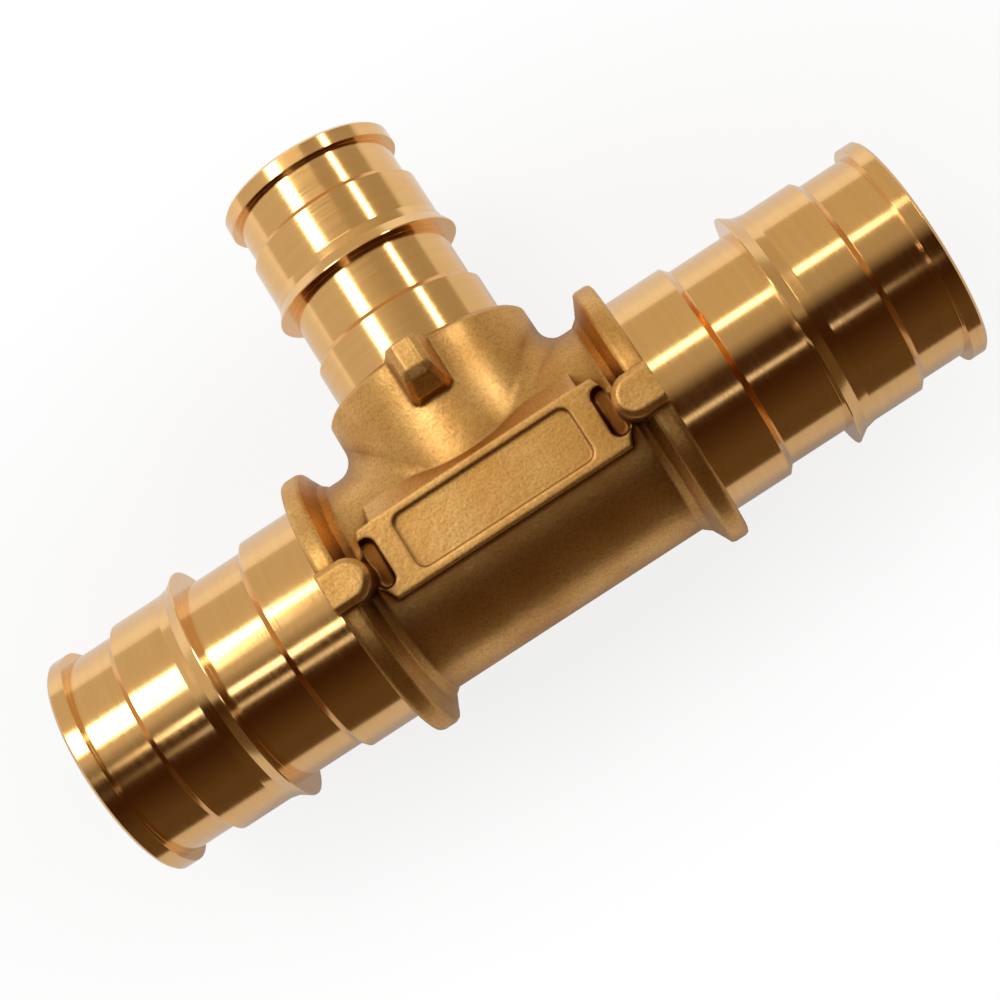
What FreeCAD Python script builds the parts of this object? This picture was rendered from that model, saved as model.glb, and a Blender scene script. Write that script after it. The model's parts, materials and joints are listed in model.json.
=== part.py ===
import FreeCAD, Part
import math
import os
import Sketcher

# Brass reducing tee with ribbed spigots for cold-expansion plastic pipe, in millimetres.
# The run lies along X, the branch points along +Y and the marking shelf faces +Z.
# The origin is where the axis of the run meets the axis of the branch.
# It is one forging: barrel, collars, boss, shelves and stop nubs keep their forged skin,
# while the three spigots, the seats behind them and the bores are turned.

SIZES = {
    # Forged barrel and its two collars
    "barrel_diameter": 24.6,
    "seat_distance": 18.9,
    "collar_rise": 2.9,
    "collar_rim_width": 2.3,
    "collar_rim_ease": 0.55,
    "collar_slope_width": 0.85,
    "collar_root_width": 0.85,
    "collar_root_rise": 0.7,
    # Run spigots, from the seat on the collar outwards
    "run_bore_diameter": 20.2,
    "run_land_diameter": 25.0,
    "run_neck_diameter": 23.4,
    "run_rib_diameter": 27.2,
    "run_tip_diameter": 25.3,
    "run_inner_land_length": 6.7,
    "run_step_length": 0.7,
    "run_inner_neck_length": 6.9,
    "run_rib_lead_length": 2.4,
    "run_outer_land_length": 5.6,
    "run_outer_neck_length": 5.2,
    "run_tip_length": 1.6,
    # Branch boss and spigot, from the boss's shoulder outwards
    "shoulder_distance": 17.5,
    "boss_diameter": 23.6,
    "boss_root_rise": 0.3,
    "boss_edge_chamfer": 0.4,
    "boss_root_fillet": 2.2,
    "branch_bore_diameter": 15.2,
    "branch_land_diameter": 19.6,
    "branch_neck_diameter": 18.3,
    "branch_rib_diameter": 21.3,
    "branch_tip_diameter": 19.9,
    "branch_inner_land_length": 5.3,
    "branch_step_length": 0.6,
    "branch_inner_neck_length": 5.7,
    "branch_rib_lead_length": 2.2,
    "branch_outer_land_length": 4.5,
    "branch_outer_neck_length": 3.9,
    "branch_tip_length": 1.5,
    # Blunt crest of each rib and broken edges of each turned end
    "rib_crest_width": 0.15,
    "end_chamfer": 0.3,
    "bore_chamfer": 0.5,
    # Flat-topped shelf on each side of the barrel, with a bare sunk panel in the upper one
    "shelf_rise": 0.7,
    "shelf_end_gap": 2.8,
    "shelf_front": 3.6,
    "shelf_back": 4.4,
    "shelf_back_drop": 3.6,
    "shelf_back_slope": 3.0,
    "shelf_edge_fillet": 0.35,
    # Lip that carries the shelf on to each collar nub, with a hollow between the two
    "lip_shoulder": 1.5,
    "lip_end": 2.6,
    "lip_nose_width": 3.2,
    "hollow_start": 0.4,
    "hollow_width": 2.2,
    "hollow_front": 2.3,
    "hollow_back": 3.4,
    "hollow_depth": 1.2,
    "hollow_draft": 20.0,
    "panel_length": 20.6,
    "panel_front": 2.6,
    "panel_back": 3.7,
    "panel_depth": 0.35,
    "panel_corner": 1.2,
    "panel_wall_draft": 35.0,
    # Stop nubs that stand on the collars and on the boss
    "collar_nub_rise": 1.5,
    "collar_nub_length": 4.8,
    "collar_nub_width": 4.6,
    "boss_nub_rise": 3.1,
    "boss_nub_length": 6.0,
    "boss_nub_top_width": 3.0,
    "boss_nub_root_width": 5.4,
    "boss_nub_ramp": 2.4,
    "nub_root_depth": 1.3,
    "nub_edge_chamfer": 0.6,
}


class Size:
    """A length together with the sheet expression that gives it."""

    def __init__(self, value, text):
        self.value = value
        self.text = text

    def __add__(self, other):
        return Size(self.value + other.value, f"({self.text} + {other.text})")

    def __sub__(self, other):
        return Size(self.value - other.value, f"({self.text} - {other.text})")

    def __neg__(self):
        return Size(-self.value, f"(-{self.text})")

    def __mul__(self, number):
        return Size(self.value * number, f"({self.text} * {number})")

    def __truediv__(self, number):
        return Size(self.value / number, f"({self.text} / {number})")


def size(name):
    return Size(SIZES[name], f"Sizes.{name}")


ZERO = Size(0.0, "0")


def barrel_radius():
    return size("barrel_diameter") / 2


def collar_radius():
    return barrel_radius() + size("collar_rise")


def boss_root_radius():
    return size("boss_diameter") / 2 + size("boss_root_rise")


def collar_root():
    """Distance along the run at which the barrel meets the collar's concave root."""
    rim = size("seat_distance") - size("collar_rim_width")
    return rim - size("collar_slope_width") - size("collar_root_width")


def shelf_end():
    return collar_root() - size("shelf_end_gap")


def shelf_height():
    return barrel_radius() + size("shelf_rise")


def collar_nub_height():
    return collar_radius() + size("collar_nub_rise")


def boss_nub_height():
    return size("boss_diameter") / 2 + size("boss_nub_rise")


H_AXIS, V_AXIS = -1, -2
START, END = 1, 2

# An eased corner is two chords of a quarter circle, and this is how far along its radius they meet
EASE_PART = 1 - math.cos(math.radians(45))


def make_sheet(document):
    sheet = document.addObject("Spreadsheet::Sheet", "Sizes")
    for row, (name, value) in enumerate(SIZES.items(), start=1):
        sheet.set(f"A{row}", name)
        sheet.set(f"B{row}", str(value))
        sheet.setAlias(f"B{row}", name)
    document.recompute()
    return sheet


def origin_feature(body, role):
    return next(feature for feature in body.Origin.OriginFeatures if feature.Role == role)


def new_sketch(body, name, plane, height=None):
    sketch = body.newObject("Sketcher::SketchObject", name)
    sketch.AttachmentSupport = [(origin_feature(body, plane), "")]
    sketch.MapMode = "FlatFace"
    if height is not None:
        sketch.AttachmentOffset = FreeCAD.Placement(FreeCAD.Vector(0, 0, height.value), FreeCAD.Rotation())
        sketch.setExpression("AttachmentOffset.Base.z", height.text)
    return sketch


def bind(sketch, kind, geometry, point, distance):
    """Holds a point at a signed distance from the sketch's origin."""
    if distance.value == 0.0:
        axis = V_AXIS if kind == "DistanceX" else H_AXIS
        sketch.addConstraint(Sketcher.Constraint("PointOnObject", geometry, point, axis))
        return
    if distance.value > 0.0:
        constraint = Sketcher.Constraint(kind, H_AXIS, START, geometry, point, distance.value)
        text = distance.text
    else:
        constraint = Sketcher.Constraint(kind, geometry, point, H_AXIS, START, -distance.value)
        text = (-distance).text
    index = sketch.addConstraint(constraint)
    sketch.setExpression(f"Constraints[{index}]", text)


def arc_between(start, end, tangent):
    """Arc from start to end that leaves start along the tangent."""
    chord = end - start
    turn = math.atan2(tangent.x * chord.y - tangent.y * chord.x, tangent.dot(chord))
    across = FreeCAD.Vector(chord.y, -chord.x, 0) * (math.tan(turn / 2) / 2)
    middle = (start + end) / 2 + across
    return Part.Arc(start, middle, end)


def draw_outline(sketch, corners):
    """Draws a closed outline. Each corner is x, y and the side that leaves it.

    A side is a line, or an arc tangent to the side before it."""
    points = [FreeCAD.Vector(x.value, y.value, 0) for x, y, side in corners]
    count = len(points)
    first = sketch.GeometryCount
    starts = []
    ends = []
    for index, (x, y, side) in enumerate(corners):
        start = points[index]
        end = points[(index + 1) % count]
        if side == "line":
            shape = Part.LineSegment(start, end)
        else:
            shape = arc_between(start, end, start - points[index - 1])
        geometry = sketch.addGeometry(shape, False)
        forwards = sketch.getPoint(geometry, START).distanceToPoint(start) < 1e-6
        starts.append(START if forwards else END)
        ends.append(END if forwards else START)
    for index, (x, y, side) in enumerate(corners):
        after = (index + 1) % count
        joint = Sketcher.Constraint(
            "Coincident" if corners[after][2] == "line" else "Tangent",
            first + index, ends[index],
            first + after, starts[after],
        )
        sketch.addConstraint(joint)
        bind(sketch, "DistanceX", first + index, starts[index], x)
        bind(sketch, "DistanceY", first + index, starts[index], y)


def spigot_stations(name, seat):
    """Half section of a spigot as distance, radius and side, from its seat to its mouth."""
    land = size(f"{name}_land_diameter") / 2
    neck = size(f"{name}_neck_diameter") / 2
    rib = size(f"{name}_rib_diameter") / 2
    tip = size(f"{name}_tip_diameter") / 2
    inner_land_end = seat + size(f"{name}_inner_land_length")
    inner_neck_start = inner_land_end + size(f"{name}_step_length")
    inner_neck_end = inner_neck_start + size(f"{name}_inner_neck_length")
    crest_end = inner_neck_end + size("rib_crest_width")
    lead_middle = crest_end + size(f"{name}_rib_lead_length") / 2
    outer_land_start = crest_end + size(f"{name}_rib_lead_length")
    outer_land_end = outer_land_start + size(f"{name}_outer_land_length")
    outer_neck_start = outer_land_end + size(f"{name}_step_length")
    outer_neck_end = outer_neck_start + size(f"{name}_outer_neck_length")
    tip_end = outer_neck_end + size(f"{name}_tip_length")
    mouth_end = tip_end + size("end_chamfer")
    return [
        (seat, ZERO, "line"),
        (seat, land, "line"),
        (inner_land_end, land, "line"),
        (inner_neck_start, neck, "line"),
        (inner_neck_end, neck, "line"),
        (inner_neck_end, rib, "line"),
        (crest_end, rib, "line"),
        (lead_middle, land + (rib - land) / 4, "line"),
        (outer_land_start, land, "line"),
        (outer_land_end, land, "line"),
        (outer_neck_start, neck, "line"),
        (outer_neck_end, neck, "line"),
        (outer_neck_end, tip, "line"),
        (tip_end, tip, "line"),
        (mouth_end, tip - size("end_chamfer"), "line"),
        (mouth_end, ZERO, "line"),
    ]


def turned(body, kind, name, axis, stations):
    """Turns a half section about the X or the Y axis, as material or as a cut."""
    sketch = new_sketch(body, f"{name}_section", "XY_Plane")
    if axis == "X":
        corners = stations
    else:
        corners = [(radius, distance, side) for distance, radius, side in stations]
    draw_outline(sketch, corners)
    feature = body.newObject(f"PartDesign::{kind}", name)
    feature.Profile = sketch
    feature.ReferenceAxis = (origin_feature(body, f"{axis}_Axis"), [""])
    feature.Angle = 360
    body.Document.recompute()
    return feature


def mirrored(body, name, originals, plane):
    feature = body.newObject("PartDesign::Mirrored", name)
    feature.Originals = originals
    feature.MirrorPlane = (origin_feature(body, plane), [""])
    body.Tip = feature
    body.Document.recompute()
    return feature


def eased(body, kind, name, base, keep, amount):
    """Fillets or chamfers every edge of the base that keep accepts."""
    edges = [f"Edge{number}" for number, edge in enumerate(base.Shape.Edges, start=1) if keep(edge)]
    feature = body.newObject(f"PartDesign::{kind}", name)
    feature.Base = (base, edges)
    feature.setExpression("Radius" if kind == "Fillet" else "Size", amount.text)
    body.Document.recompute()
    return feature


def near(first, second):
    return abs(first - second) < 1e-4


def has_curve(edge, kind):
    return not edge.Degenerated and edge.Curve.TypeId == f"Part::Geom{kind}"


def make_barrel(body):
    """Barrel and collars: each collar has a seat, an eased rim and a slope down to its root."""
    seat = size("seat_distance")
    rim = seat - size("collar_rim_width")
    root = collar_root()
    foot = root + size("collar_root_width")
    collar = collar_radius()
    barrel = barrel_radius()
    ease = size("collar_rim_ease")
    part_way = ease * EASE_PART
    half = [
        (root, barrel),
        (foot, barrel + size("collar_root_rise")),
        (rim, collar - ease),
        (rim + part_way, collar - part_way),
        (rim + ease, collar),
        (seat - ease, collar),
        (seat - part_way, collar - part_way),
        (seat, collar - ease),
        (seat, ZERO),
    ]
    right = [(distance, radius, "line") for distance, radius in half]
    left = [(-distance, radius, "line") for distance, radius in reversed(half)]
    turned(body, "Revolution", "barrel", "X", left + right)


def make_boss(body):
    shoulder = size("shoulder_distance")
    radius = size("boss_diameter") / 2
    edge = size("boss_edge_chamfer")
    boss = turned(body, "Revolution", "boss", "Y", [
        (ZERO, ZERO, "line"),
        (ZERO, boss_root_radius(), "line"),
        (shoulder - edge, radius, "line"),
        (shoulder, radius - edge, "line"),
        (shoulder, ZERO, "line"),
    ])
    eased(
        body, "Fillet", "boss_root", boss,
        lambda edge: has_curve(edge, "BSplineCurve"),
        size("boss_root_fillet"),
    )


def in_plane(edge, axis, distance):
    """Whether the whole edge lies in one of the two planes at this distance from the centre."""
    low = getattr(edge.BoundBox, f"{axis}Min")
    high = getattr(edge.BoundBox, f"{axis}Max")
    return near(low, high) and near(abs(high), distance)


def padded(body, kind, sketch, name, length):
    feature = body.newObject(f"PartDesign::{kind}", name)
    feature.Profile = sketch
    feature.Type = "Length"
    feature.setExpression("Length", length.text)
    return feature


def make_shelves(body):
    front = -size("shelf_front")
    back = size("shelf_back")
    foot = back + size("shelf_back_slope")
    top = shelf_height()
    sketch = new_sketch(body, "shelf_section", "YZ_Plane")
    draw_outline(sketch, [
        (front, ZERO, "line"),
        (front, top, "line"),
        (back, top, "line"),
        (foot, top - size("shelf_back_drop"), "line"),
        (foot, ZERO, "line"),
    ])
    shelf = padded(body, "Pad", sketch, "shelf", shelf_end() * 2)
    shelf.SideType = "Symmetric"
    body.Document.recompute()
    lips = make_lips(body, front, back)
    both = mirrored(body, "shelves", [shelf, lips], "XY_Plane")
    eased(
        body, "Fillet", "shelf_edges", both,
        lambda edge: in_plane(edge, "Z", shelf_height().value)
        and edge.BoundBox.YMax < 0.0,
        size("shelf_edge_fillet"),
    )
    make_hollows(body)


def make_lips(body, front, back):
    """Lips on both ends of the shelf, narrowing to the nubs."""
    end = shelf_end()
    shoulder = end + size("lip_shoulder")
    nose = end + size("lip_end")
    half_nose = size("lip_nose_width") / 2
    sketch = new_sketch(body, "lip_outline", "XY_Plane", shelf_height())
    outline = [
        (ZERO, front, "line"),
        (shoulder, front, "line"),
        (nose, -half_nose, "line"),
        (nose, half_nose, "line"),
        (shoulder, back, "line"),
        (ZERO, back, "line"),
    ]
    mirror = [(-along, across, side) for along, across, side in outline[1:-1]]
    draw_outline(sketch, outline[1:-1] + mirror[::-1])
    lips = padded(body, "Pad", sketch, "lips", shelf_height())
    lips.Reversed = True
    body.Document.recompute()
    return lips


def make_hollows(body):
    """Sunk slot with sloping walls between each end of the shelf and its nub."""
    start = shelf_end() + size("hollow_start")
    end = start + size("hollow_width")
    front = -size("hollow_front")
    back = size("hollow_back")
    sketch = new_sketch(body, "hollow_outline", "XY_Plane", shelf_height())
    radius = size("hollow_width") / 2
    for sign in (1, -1):
        near_end, far_end = (start, end) if sign > 0 else (-end, -start)
        draw_outline(sketch, [
            (near_end, back - radius, "line"),
            (near_end, front + radius, "arc after"),
            (far_end, front + radius, "line"),
            (far_end, back - radius, "arc after"),
        ])
    hollows = padded(body, "Pocket", sketch, "hollow", size("hollow_depth"))
    hollows.setExpression("TaperAngle", (-size("hollow_draft")).text)
    body.Document.recompute()
    mirrored(body, "hollows", [hollows], "XY_Plane")


def make_panel(body):
    half = size("panel_length") / 2
    front = -size("panel_front")
    back = size("panel_back")
    corner = size("panel_corner")
    sketch = new_sketch(body, "panel_outline", "XY_Plane", shelf_height())
    draw_outline(sketch, [
        (-half + corner, back, "line"),
        (half - corner, back, "arc after"),
        (half, back - corner, "line"),
        (half, front + corner, "arc after"),
        (half - corner, front, "line"),
        (-half + corner, front, "arc after"),
        (-half, front + corner, "line"),
        (-half, back - corner, "arc after"),
    ])
    panel = padded(body, "Pocket", sketch, "panel", size("panel_depth"))
    panel.setExpression("TaperAngle", (-size("panel_wall_draft")).text)
    body.Document.recompute()


def d_outline(inner_end, outer_end, half_width):
    """Straight flanks and a half-round inner end, as distances along and across a nub."""
    centre = inner_end + half_width
    return [
        (outer_end, -half_width, "line"),
        (outer_end, half_width, "line"),
        (centre, half_width, "arc after"),
        (centre, -half_width, "line"),
    ]


def make_collar_nubs(body):
    """Round-ended nubs across both collars, flush with the seats, above and then below."""
    seat = size("seat_distance")
    height = collar_nub_height()
    root = barrel_radius() - size("nub_root_depth")
    corners = d_outline(seat - size("collar_nub_length"), seat, size("collar_nub_width") / 2)
    sketch = new_sketch(body, "collar_nub_outline", "XY_Plane", height)
    draw_outline(sketch, corners)
    draw_outline(sketch, [(-along, across, side) for along, across, side in corners])
    nubs = padded(body, "Pad", sketch, "collar_nub", height - root)
    nubs.Reversed = True
    body.Document.recompute()
    mirrored(body, "collar_nubs", [nubs], "XY_Plane")


def make_boss_nubs(body):
    """Nubs with sloping flanks along the boss, flush with its shoulder, above and below."""
    top = boss_nub_height()
    root = size("boss_diameter") / 2 - size("nub_root_depth")
    half_top = size("boss_nub_top_width") / 2
    half_root = size("boss_nub_root_width") / 2
    sketch = new_sketch(body, "boss_nub_section", "XZ_Plane", -size("shoulder_distance"))
    for low, high in ((root, top), (-root, -top)):
        draw_outline(sketch, [
            (-half_top, high, "line"),
            (half_top, high, "line"),
            (half_root, low, "line"),
            (-half_root, low, "line"),
        ])
    padded(body, "Pad", sketch, "boss_nub", size("boss_nub_length"))
    body.Document.recompute()


def ease_collar_nubs(body):
    """Breaks the top edges of the collar nubs, apart from the turned one on the seat."""
    eased(
        body, "Chamfer", "collar_nub_edges", body.Tip,
        lambda edge: in_plane(edge, "Z", collar_nub_height().value)
        and not in_plane(edge, "X", SIZES["seat_distance"]),
        size("nub_edge_chamfer"),
    )


def stands_clear(edge, radius):
    """Whether the edge reaches further from the run's level than this radius."""
    return max(abs(edge.BoundBox.ZMin), abs(edge.BoundBox.ZMax)) > radius + 0.1


def ease_boss_nubs(body):
    """Slopes the inner end of each boss nub down to the boss and breaks its edges."""
    inner_end = SIZES["shoulder_distance"] - SIZES["boss_nub_length"]
    ramps = eased(
        body, "Chamfer", "boss_nub_ramps", body.Tip,
        lambda edge: in_plane(edge, "Y", inner_end) and in_plane(edge, "Z", boss_nub_height().value),
        size("boss_nub_ramp"),
    )
    eased(
        body, "Chamfer", "boss_nub_edges", ramps,
        lambda edge: has_curve(edge, "Line")
        and edge.BoundBox.YMin > inner_end - 0.01
        and stands_clear(edge, boss_root_radius().value)
        and max(abs(edge.BoundBox.XMin), abs(edge.BoundBox.XMax)) < SIZES["boss_nub_root_width"] / 2
        and not in_plane(edge, "Y", SIZES["shoulder_distance"]),
        size("nub_edge_chamfer"),
    )


def make_spigots(body):
    run_stations = spigot_stations("run", size("seat_distance"))
    run_spigot = turned(body, "Revolution", "run_spigot", "X", run_stations)
    mirrored(body, "run_spigots", [run_spigot], "YZ_Plane")
    branch_stations = spigot_stations("branch", size("shoulder_distance"))
    turned(body, "Revolution", "branch_spigot", "Y", branch_stations)
    return run_stations[-1][0], branch_stations[-1][0]


def make_bores(body, run_end, branch_end):
    chamfer = size("bore_chamfer")
    run_bore = size("run_bore_diameter") / 2
    turned(body, "Groove", "run_bore", "X", [
        (-run_end, ZERO, "line"),
        (-run_end, run_bore + chamfer, "line"),
        (-run_end + chamfer, run_bore, "line"),
        (run_end - chamfer, run_bore, "line"),
        (run_end, run_bore + chamfer, "line"),
        (run_end, ZERO, "line"),
    ])
    branch_bore = size("branch_bore_diameter") / 2
    turned(body, "Groove", "branch_bore", "Y", [
        (ZERO, ZERO, "line"),
        (ZERO, branch_bore, "line"),
        (branch_end - chamfer, branch_bore, "line"),
        (branch_end, branch_bore + chamfer, "line"),
        (branch_end, ZERO, "line"),
    ])


def make_tee(document):
    body = document.addObject("PartDesign::Body", "tee_body")
    body.Label = "tee_body"
    make_barrel(body)
    make_boss(body)
    run_end, branch_end = make_spigots(body)
    make_shelves(body)
    make_panel(body)
    make_bores(body, run_end, branch_end)
    make_collar_nubs(body)
    ease_collar_nubs(body)
    make_boss_nubs(body)
    ease_boss_nubs(body)
    return body


def check(document, body):
    """Stops before anything is written if a feature failed or does nothing."""
    for item in document.Objects:
        if "Invalid" in item.State or "Error" in item.State:
            raise RuntimeError(f"{item.Name} failed: {item.State}")
    volume = 0.0
    for feature in body.Group:
        if not feature.TypeId.startswith("PartDesign::"):
            continue
        if near(feature.Shape.Volume, volume):
            raise RuntimeError(f"{feature.Name} changes nothing")
        volume = feature.Shape.Volume
    shape = body.Shape
    if shape.isNull() or not shape.isValid() or len(shape.Solids) != 1:
        raise RuntimeError("the tee isn't one valid solid")


document = FreeCAD.newDocument("ReducingTee")
make_sheet(document)
tee = make_tee(document)
document.recompute()
check(document, tee)
os.makedirs("parts", exist_ok=True)
tee.Shape.exportStep(f"parts/{tee.Label}.step")
box = tee.Shape.optimalBoundingBox()
print(f"{tee.Label}: {tee.Shape.Volume:.1f} cubic mm, {len(tee.Shape.Faces)} faces")
print(f"box {box.XMin:.2f} {box.YMin:.2f} {box.ZMin:.2f} to {box.XMax:.2f} {box.YMax:.2f} {box.ZMax:.2f}")
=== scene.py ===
import json
import math
import bpy
from mathutils import Matrix, Vector


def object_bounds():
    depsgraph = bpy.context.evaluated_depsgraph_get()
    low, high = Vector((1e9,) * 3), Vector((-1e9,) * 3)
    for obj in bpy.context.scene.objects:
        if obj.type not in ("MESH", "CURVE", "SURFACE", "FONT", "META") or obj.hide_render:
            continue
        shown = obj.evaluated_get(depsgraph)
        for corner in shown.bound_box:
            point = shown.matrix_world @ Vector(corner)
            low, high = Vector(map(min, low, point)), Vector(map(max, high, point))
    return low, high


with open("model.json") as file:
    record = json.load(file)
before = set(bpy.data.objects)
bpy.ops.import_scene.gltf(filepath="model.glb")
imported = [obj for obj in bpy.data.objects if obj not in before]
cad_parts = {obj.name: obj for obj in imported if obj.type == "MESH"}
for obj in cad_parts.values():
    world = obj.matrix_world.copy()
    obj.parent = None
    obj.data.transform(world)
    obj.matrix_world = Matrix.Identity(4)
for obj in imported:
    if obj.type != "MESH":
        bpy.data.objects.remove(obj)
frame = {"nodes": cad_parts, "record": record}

# A brass reducing tee lying on its stop nubs on a pale floor, seen from almost straight above.
# Lengths are metres in the frame of the CAD part: the run lies along X and the branch along +Y.

CAD_BOX = [list(corner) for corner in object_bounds()]
MM = 0.001

# Planes and radii that divide the forged skin from what is turned, from the part's own mounts
MOUNTS = {mount["name"]: mount for mount in frame["record"]["mounts"]}
SEAT_X = MOUNTS["run_seat_right"]["pos_m"][0]
SHOULDER_Y = MOUNTS["branch_seat"]["pos_m"][1]
RUN_BORE_RADIUS = MOUNTS["run_bore"]["dims"]["r_mm"] * MM
BRANCH_BORE_RADIUS = MOUNTS["branch_bore"]["dims"]["r_mm"] * MM
RUN_AXIS = (1.0, 0.0, 0.0)
BRANCH_AXIS = (0.0, 1.0, 0.0)
PLANE_SLACK = 0.02 * MM
FACES_AXIS = 0.9

# Forged skin: tones from dark to rubbed, a painted shade darkening its hollows and creases, and the
# sizes of its grain, edges and that shade
FORGED_DARK = (0.70, 0.37, 0.10, 1.0)
FORGED_LIGHT = (0.90, 0.54, 0.19, 1.0)
FORGED_SPECK = (0.42, 0.18, 0.045, 1.0)
# Painted shade: the dark brown that hollows and creases are darkened towards
FORGED_PAINTED_SHADE = (0.21, 0.07, 0.01, 1.0)
FORGED_RUBBED = (0.93, 0.62, 0.28, 1.0)
FORGED_EDGE_RADIUS = 0.5 * MM
PAINTED_SHADE_REACH = 5.0 * MM
GRAIN_PER_METRE = 3400.0
PITS_PER_METRE = 1300.0
STAINS_PER_METRE = 130.0
GRAIN_HEIGHT = 0.045 * MM

# Turned brass: tones, and how fine its rings are along and across the axis
TURNED_DARK = (0.86, 0.47, 0.15, 1.0)
TURNED_LIGHT = (0.93, 0.57, 0.21, 1.0)
TURNED_RUBBED = (0.97, 0.74, 0.42, 1.0)
TURNED_EDGE_RADIUS = 0.09 * MM
TURNED_ROUGHNESS = 0.15
BORED_ROUGHNESS = 0.3
RINGS_PER_METRE = (9000.0, 40.0)
PASSES_PER_METRE = (1500.0, 15.0)
RING_HEIGHT = 0.004 * MM
OFF_AXIS = 0.02

# Rubbed edges: cosine between the softened and the plain normal, from fully rubbed to not at all
EDGE_COSINES = (0.86, 0.995)
RUBBED_SHARE = 0.35

# Floor and its shadow, and where along it the metal mirrors something dark or pale
FLOOR_SIZE = 6.0
FLOOR_Z = CAD_BOX[0][2]
FLOOR_WHITE = (0.97, 0.965, 0.96, 1.0)
SHADOW_MIDDLE = (0.0, 0.008, 0.0)
SHADOW_SHAPE = (0.5, 1.0, 0.0)
SHADOW_REACH = (0.022, 0.05)
SHADOW_WHITE_SHARE = 0.85
GLOW_ENDS_Y = (-62.0 * MM, -54.0 * MM)
PALE_STARTS_Y = (0.02, 0.1)
PALE_SHARES = (0.25, 0.9)
DIM_TO_THE_RIGHT = (0.0, 0.1)
DIM_SHARE = 0.55

# Surroundings that the metal mirrors: dark and brown in front and pale behind
WHITE = (1.0, 1.0, 1.0, 1.0)
FRONT_GLOW = (0.115, 0.072, 0.034, 1.0)
FRONT_DARK = (0.042, 0.017, 0.006, 1.0)
BACK_LEFT = (0.63, 0.59, 0.53, 1.0)
BACK_RIGHT_LOW = (0.43, 0.38, 0.3, 1.0)
BACK_RIGHT_HIGH = (0.58, 0.52, 0.4, 1.0)
LAMP_DISTANCE = 0.6

# Camera of the photograph: turned from looking straight down, then rolled about its own axis
CAMERA_PLACE = Vector((12.853, -38.391, 209.184)) * MM
CAMERA_TURN = Vector((0.169, 0.040, -0.006))
CAMERA_ROLL = math.radians(-32.5)
CAMERA_LENS = 74.42
CAMERA_SENSOR = 36.0
CAMERA_SHIFT = (-0.0659, 0.0057)
CAMERA_REACH = (0.01, 20.0)


class Nodes:
    """Short calls that add a node and link what it takes."""

    def __init__(self, tree):
        self.tree = tree

    def add(self, kind, inputs=None, **settings):
        node = self.tree.nodes.new(kind)
        for name, value in settings.items():
            setattr(node, name, value)
        for name, value in (inputs or {}).items():
            if isinstance(value, bpy.types.NodeSocket):
                self.tree.links.new(value, node.inputs[name])
            else:
                node.inputs[name].default_value = value
        return node

    def math(self, operation, first, second=0.0, third=0.0):
        inputs = {0: first, 1: second, 2: third}
        return self.add("ShaderNodeMath", inputs, operation=operation).outputs[0]

    def vector_math(self, operation, first, second=(0.0, 0.0, 0.0)):
        inputs = {0: first, 1: second}
        return self.add("ShaderNodeVectorMath", inputs, operation=operation).outputs

    def noise(self, vector, scale, detail, roughness):
        inputs = {"Vector": vector, "Scale": scale, "Detail": detail, "Roughness": roughness}
        return self.add("ShaderNodeTexNoise", inputs).outputs["Fac"]

    def spread(self, value, low, high, to_low, to_high):
        inputs = {"Value": value, 1: low, 2: high, 3: to_low, 4: to_high}
        return self.add("ShaderNodeMapRange", inputs).outputs[0]

    def mix(self, factor, first, second):
        inputs = {"Factor": factor, 6: first, 7: second}
        return self.add("ShaderNodeMix", inputs, data_type="RGBA").outputs[2]

    def scaled(self, vector, scale):
        inputs = {"Vector": vector, "Scale": scale}
        return self.add("ShaderNodeMapping", inputs).outputs[0]

    def bump(self, height, strength, distance, normal):
        inputs = {
            "Height": height,
            "Strength": strength,
            "Distance": distance,
            "Normal": normal,
        }
        return self.add("ShaderNodeBump", inputs).outputs[0]

    def place(self):
        return self.add("ShaderNodeTexCoord").outputs["Object"]

    def output(self, shader):
        self.add("ShaderNodeOutputMaterial", {"Surface": shader})


def new_material(name):
    material = bpy.data.materials.new(name)
    material.use_nodes = True
    tree = material.node_tree
    tree.nodes.clear()
    return material, Nodes(tree)


def worn_edge(nodes, radius):
    """Normal with softened edges, and a mask that is 1 on the edges and 0 away from them."""
    soft = nodes.add("ShaderNodeBevel", {"Radius": radius}, samples=6).outputs[0]
    plain = nodes.add("ShaderNodeNewGeometry").outputs["Normal"]
    same = nodes.vector_math("DOT_PRODUCT", soft, plain)["Value"]
    return soft, nodes.spread(same, *EDGE_COSINES, 1.0, 0.0)


def forged_brass():
    """Matte forged skin: sandy grain, slow stains, painted shade in hollows and creases, and rubbed
    edges.
    """
    material, nodes = new_material("forged_brass")
    place = nodes.place()
    soft, edge = worn_edge(nodes, FORGED_EDGE_RADIUS)
    grain = nodes.noise(place, GRAIN_PER_METRE, 3.0, 0.65)
    pits = nodes.noise(place, PITS_PER_METRE, 2.0, 0.5)
    stain = nodes.noise(place, STAINS_PER_METRE, 3.0, 0.55)
    tone = nodes.mix(nodes.spread(stain, 0.35, 0.68, 0.0, 1.0), FORGED_DARK, FORGED_LIGHT)
    tone = nodes.mix(nodes.spread(grain, 0.44, 0.68, 0.0, 0.5), tone, FORGED_SPECK)
    # Painted shade: ambient occlusion darkens hollows, creases and corners towards a dark brown
    reach = {"Distance": PAINTED_SHADE_REACH}
    painted_shade = nodes.add("ShaderNodeAmbientOcclusion", reach, samples=8).outputs["AO"]
    tone = nodes.mix(nodes.spread(painted_shade, 0.6, 0.94, 1.0, 0.0), tone, FORGED_PAINTED_SHADE)
    tone = nodes.mix(nodes.math("MULTIPLY", edge, RUBBED_SHARE), tone, FORGED_RUBBED)
    height = nodes.math("MULTIPLY_ADD", grain, 0.6, pits)
    shader = nodes.add("ShaderNodeBsdfPrincipled", {
        "Base Color": tone,
        "Metallic": 1.0,
        "Roughness": nodes.spread(stain, 0.3, 0.7, 0.41, 0.34),
        "Normal": nodes.bump(height, 0.5, GRAIN_HEIGHT, soft),
    }).outputs[0]
    nodes.output(shader)
    return material


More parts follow.
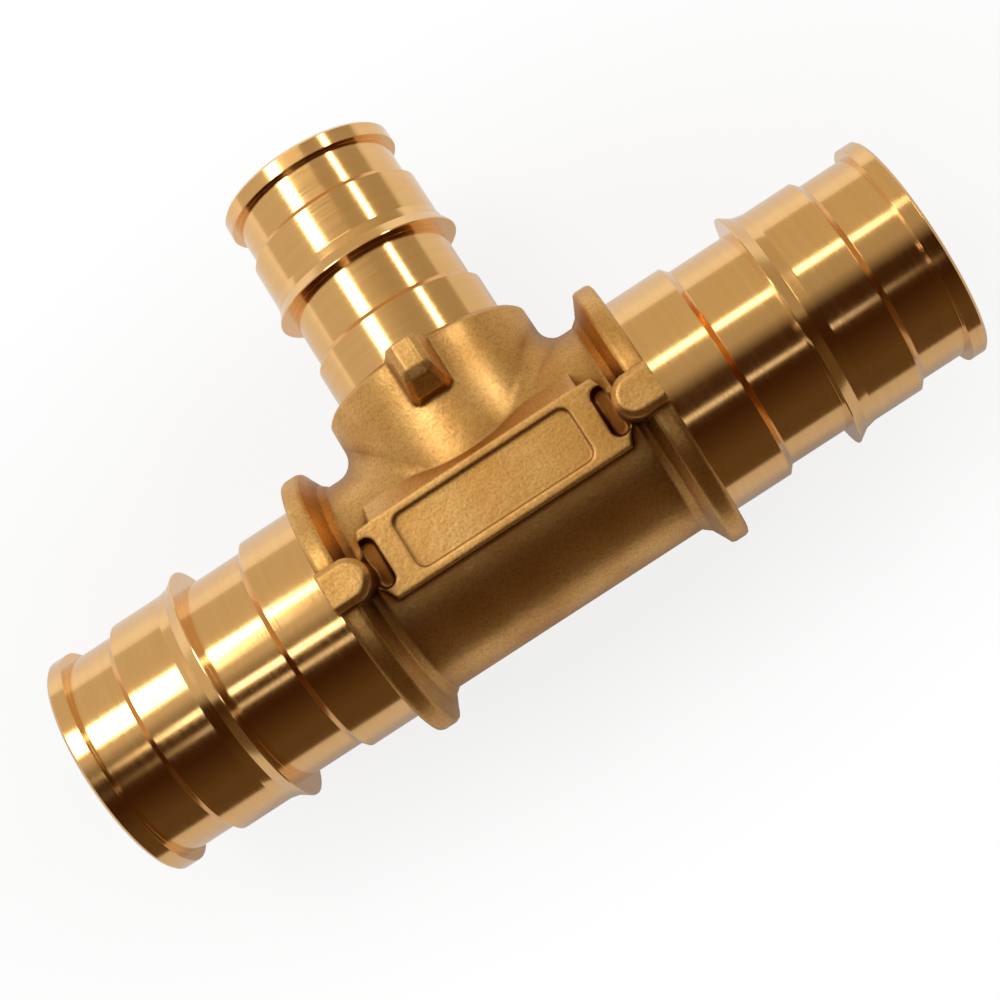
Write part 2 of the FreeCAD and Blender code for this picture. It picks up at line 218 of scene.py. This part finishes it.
def turned_brass(name, axis, roughness):
    """Turned and polished brass: fine rings, a sheen stretched along the axis, and oil on top."""
    material, nodes = new_material(name)
    place = nodes.place()
    along = Vector(axis)
    across = Vector((1.0, 1.0, 1.0)) - along
    rings = nodes.scaled(place, along * RINGS_PER_METRE[0] + across * RINGS_PER_METRE[1])
    passes = nodes.scaled(place, along * PASSES_PER_METRE[0] + across * PASSES_PER_METRE[1])
    fine = nodes.noise(rings, 1.0, 2.0, 0.6)
    broad = nodes.noise(passes, 1.0, 2.0, 0.5)
    soft, edge = worn_edge(nodes, TURNED_EDGE_RADIUS)
    tone = nodes.mix(broad, TURNED_DARK, TURNED_LIGHT)
    tone = nodes.mix(nodes.math("MULTIPLY", edge, RUBBED_SHARE), tone, TURNED_RUBBED)
    height = nodes.math("MULTIPLY_ADD", fine, 0.6, broad)
    tangent = nodes.vector_math("ADD", nodes.scaled(place, across), tuple(along * OFF_AXIS))[0]
    shader = nodes.add("ShaderNodeBsdfPrincipled", {
        "Base Color": tone,
        "Metallic": 1.0,
        "Roughness": nodes.spread(fine, 0.3, 0.7, roughness - 0.03, roughness + 0.04),
        "Anisotropic": 0.35,
        "Coat Weight": 0.7,
        "Coat Roughness": 0.06,
        "Tangent": tangent,
        "Normal": nodes.bump(height, 0.1, RING_HEIGHT, soft),
    }).outputs[0]
    nodes.output(shader)
    return material


def finish_of(polygon):
    """Which finish a facet has: the forged skin, or turned or bored along the run or the branch."""
    centre = polygon.center
    from_run = math.hypot(centre.y, centre.z)
    from_branch = math.hypot(centre.x, centre.z)
    to_seat = abs(centre.x) - SEAT_X
    to_shoulder = centre.y - SHOULDER_Y
    on_seat = abs(to_seat) <= PLANE_SLACK and abs(polygon.normal.x) > FACES_AXIS
    on_shoulder = abs(to_shoulder) <= PLANE_SLACK and polygon.normal.y > FACES_AXIS
    in_run_bore = from_run < RUN_BORE_RADIUS + PLANE_SLACK
    in_branch_bore = centre.y > 0.0 and from_branch < BRANCH_BORE_RADIUS + PLANE_SLACK
    if in_run_bore:
        return "run_bore"
    if to_seat > PLANE_SLACK or on_seat:
        return "run"
    if in_branch_bore:
        return "branch_bore"
    if to_shoulder > PLANE_SLACK or on_shoulder:
        return "branch"
    return "forged"


def dress(node):
    slots = {
        "forged": forged_brass(),
        "run": turned_brass("turned_run", RUN_AXIS, TURNED_ROUGHNESS),
        "branch": turned_brass("turned_branch", BRANCH_AXIS, TURNED_ROUGHNESS),
        "run_bore": turned_brass("bored_run", RUN_AXIS, BORED_ROUGHNESS),
        "branch_bore": turned_brass("bored_branch", BRANCH_AXIS, BORED_ROUGHNESS),
    }
    mesh = node.data
    mesh.materials.clear()
    for material in slots.values():
        mesh.materials.append(material)
    order = list(slots)
    for polygon in mesh.polygons:
        polygon.material_index = order.index(finish_of(polygon))


def add_floor():
    """White sheet under the tee. What the metal mirrors of it is dark in front, off the view."""
    bpy.ops.mesh.primitive_plane_add(size=FLOOR_SIZE, location=(0.0, 0.0, FLOOR_Z))
    floor = bpy.context.object
    floor.name = "floor"
    material, nodes = new_material("floor")
    place = nodes.add("ShaderNodeNewGeometry").outputs["Position"]
    parts = nodes.add("ShaderNodeSeparateXYZ", {0: place}).outputs
    path = nodes.add("ShaderNodeLightPath").outputs

    # The camera sees white, a little less so round the tee, where its shadow lies
    from_middle = nodes.vector_math("SUBTRACT", place, SHADOW_MIDDLE)[0]
    reach = nodes.vector_math("LENGTH", nodes.scaled(from_middle, SHADOW_SHAPE))["Value"]
    white_share = nodes.spread(reach, *SHADOW_REACH, SHADOW_WHITE_SHARE, 1.0)
    seen_white = nodes.math("MULTIPLY", path["Is Camera Ray"], white_share)

    # The metal sees a dim glow in front, and a pale floor behind that dims to the right
    front = nodes.spread(parts["Y"], *GLOW_ENDS_Y, 1.0, 0.0)
    behind = nodes.spread(parts["Y"], *PALE_STARTS_Y, *PALE_SHARES)
    beside = nodes.math("SUBTRACT", parts["X"], parts["Y"])
    dimming = nodes.spread(beside, *DIM_TO_THE_RIGHT, 1.0, DIM_SHARE)
    behind = nodes.math("MULTIPLY", behind, dimming)
    mirrored_share = nodes.math("MAXIMUM", front, behind)
    mirrored = nodes.math("MULTIPLY", path["Is Glossy Ray"], mirrored_share)
    in_front = nodes.math("MULTIPLY", path["Is Glossy Ray"], front)
    glow = nodes.mix(in_front, WHITE, FRONT_GLOW)

    matte = nodes.add("ShaderNodeBsdfDiffuse", {"Color": FLOOR_WHITE}).outputs[0]
    bright = nodes.add("ShaderNodeEmission", {"Color": glow}).outputs[0]
    factor = nodes.math("MAXIMUM", seen_white, mirrored)
    inputs = {0: factor, 1: matte, 2: bright}
    nodes.output(nodes.add("ShaderNodeMixShader", inputs).outputs[0])
    floor.data.materials.append(material)


def towards(right, back):
    """Direction that leans from the vertical by so many degrees to +X and to +Y."""
    slopes = math.tan(math.radians(right)), math.tan(math.radians(back))
    return Vector((*slopes, 1.0)).normalized()


def add_strip(name, first, last, width, radiance):
    """Strip lamp that shines at the tee from between two directions, LAMP_DISTANCE away."""
    start = first * LAMP_DISTANCE
    end = last * LAMP_DISTANCE
    data = bpy.data.lights.new(name, "AREA")
    data.shape = "RECTANGLE"
    data.size = (end - start).length
    data.size_y = width
    data.energy = radiance * math.pi * data.size * width
    lamp = bpy.data.objects.new(name, data)
    bpy.context.scene.collection.objects.link(lamp)
    side = (end - start).normalized()
    back = (start + end).normalized()
    turn = Matrix((side, back.cross(side), back)).transposed().to_4x4()
    lamp.matrix_world = Matrix.Translation((start + end) / 2.0) @ turn


def add_lamps():
    """Five strips, each from one direction to another, with its width and its radiance."""
    add_strip("back_strip", towards(-24.0, 31.5), towards(16.0, 31.5), 0.065, 3.6)
    add_strip("front_strip", towards(-18.0, -8.0), towards(-7.0, -12.0), 0.055, 3.8)
    add_strip("front_glow", towards(-19.0, -26.0), towards(13.0, -29.5), 0.05, 1.0)
    add_strip("left_strip", towards(-25.0, 17.0), towards(-25.0, 40.0), 0.16, 5.5)
    add_strip("right_strip", towards(47.0, 12.0), towards(47.0, 40.0), 0.07, 6.0)


def add_world():
    """What the metal mirrors, dark in front and pale behind. The camera sees white instead."""
    world = bpy.data.worlds.new("studio")
    world.use_nodes = True
    world.node_tree.nodes.clear()
    nodes = Nodes(world.node_tree)
    direction = nodes.add("ShaderNodeTexCoord").outputs["Generated"]
    parts = nodes.add("ShaderNodeSeparateXYZ", {0: direction}).outputs
    lean = nodes.math("ARCTAN2", parts["Y"], parts["Z"])

    def between(low, high, to_low, to_high):
        return nodes.spread(lean, math.radians(low), math.radians(high), to_low, to_high)

    front = nodes.mix(between(-85.0, -45.0, 1.0, 0.0), FRONT_DARK, FRONT_GLOW)
    off_side = nodes.spread(parts["X"], 0.3, 0.7, 1.0, 0.0)
    raised = nodes.math("MULTIPLY", between(25.0, 45.0, 0.0, 1.0), off_side)
    right = nodes.mix(raised, BACK_RIGHT_LOW, BACK_RIGHT_HIGH)
    back = nodes.mix(nodes.spread(parts["X"], -0.4, 0.15, 0.0, 1.0), BACK_LEFT, right)
    room = nodes.mix(between(-8.0, 8.0, 0.0, 1.0), front, back)
    path = nodes.add("ShaderNodeLightPath").outputs
    seen = nodes.mix(path["Is Camera Ray"], room, WHITE)
    shader = nodes.add("ShaderNodeBackground", {"Color": seen}).outputs[0]
    nodes.add("ShaderNodeOutputWorld", {"Surface": shader})
    bpy.context.scene.world = world


def add_camera():
    data = bpy.data.cameras.new("camera")
    data.sensor_width = CAMERA_SENSOR
    data.lens = CAMERA_LENS
    data.shift_x, data.shift_y = CAMERA_SHIFT
    data.clip_start, data.clip_end = CAMERA_REACH
    camera = bpy.data.objects.new("camera", data)
    bpy.context.scene.collection.objects.link(camera)
    turn = Matrix.Rotation(CAMERA_TURN.length, 4, CAMERA_TURN.normalized())
    roll = Matrix.Rotation(CAMERA_ROLL, 4, "Z")
    camera.matrix_world = Matrix.Translation(CAMERA_PLACE) @ turn @ roll
    bpy.context.scene.camera = camera


dress(frame["nodes"]["tee_body"])
add_floor()
add_lamps()
add_world()
add_camera()
bpy.context.scene.view_settings.view_transform = "Standard"
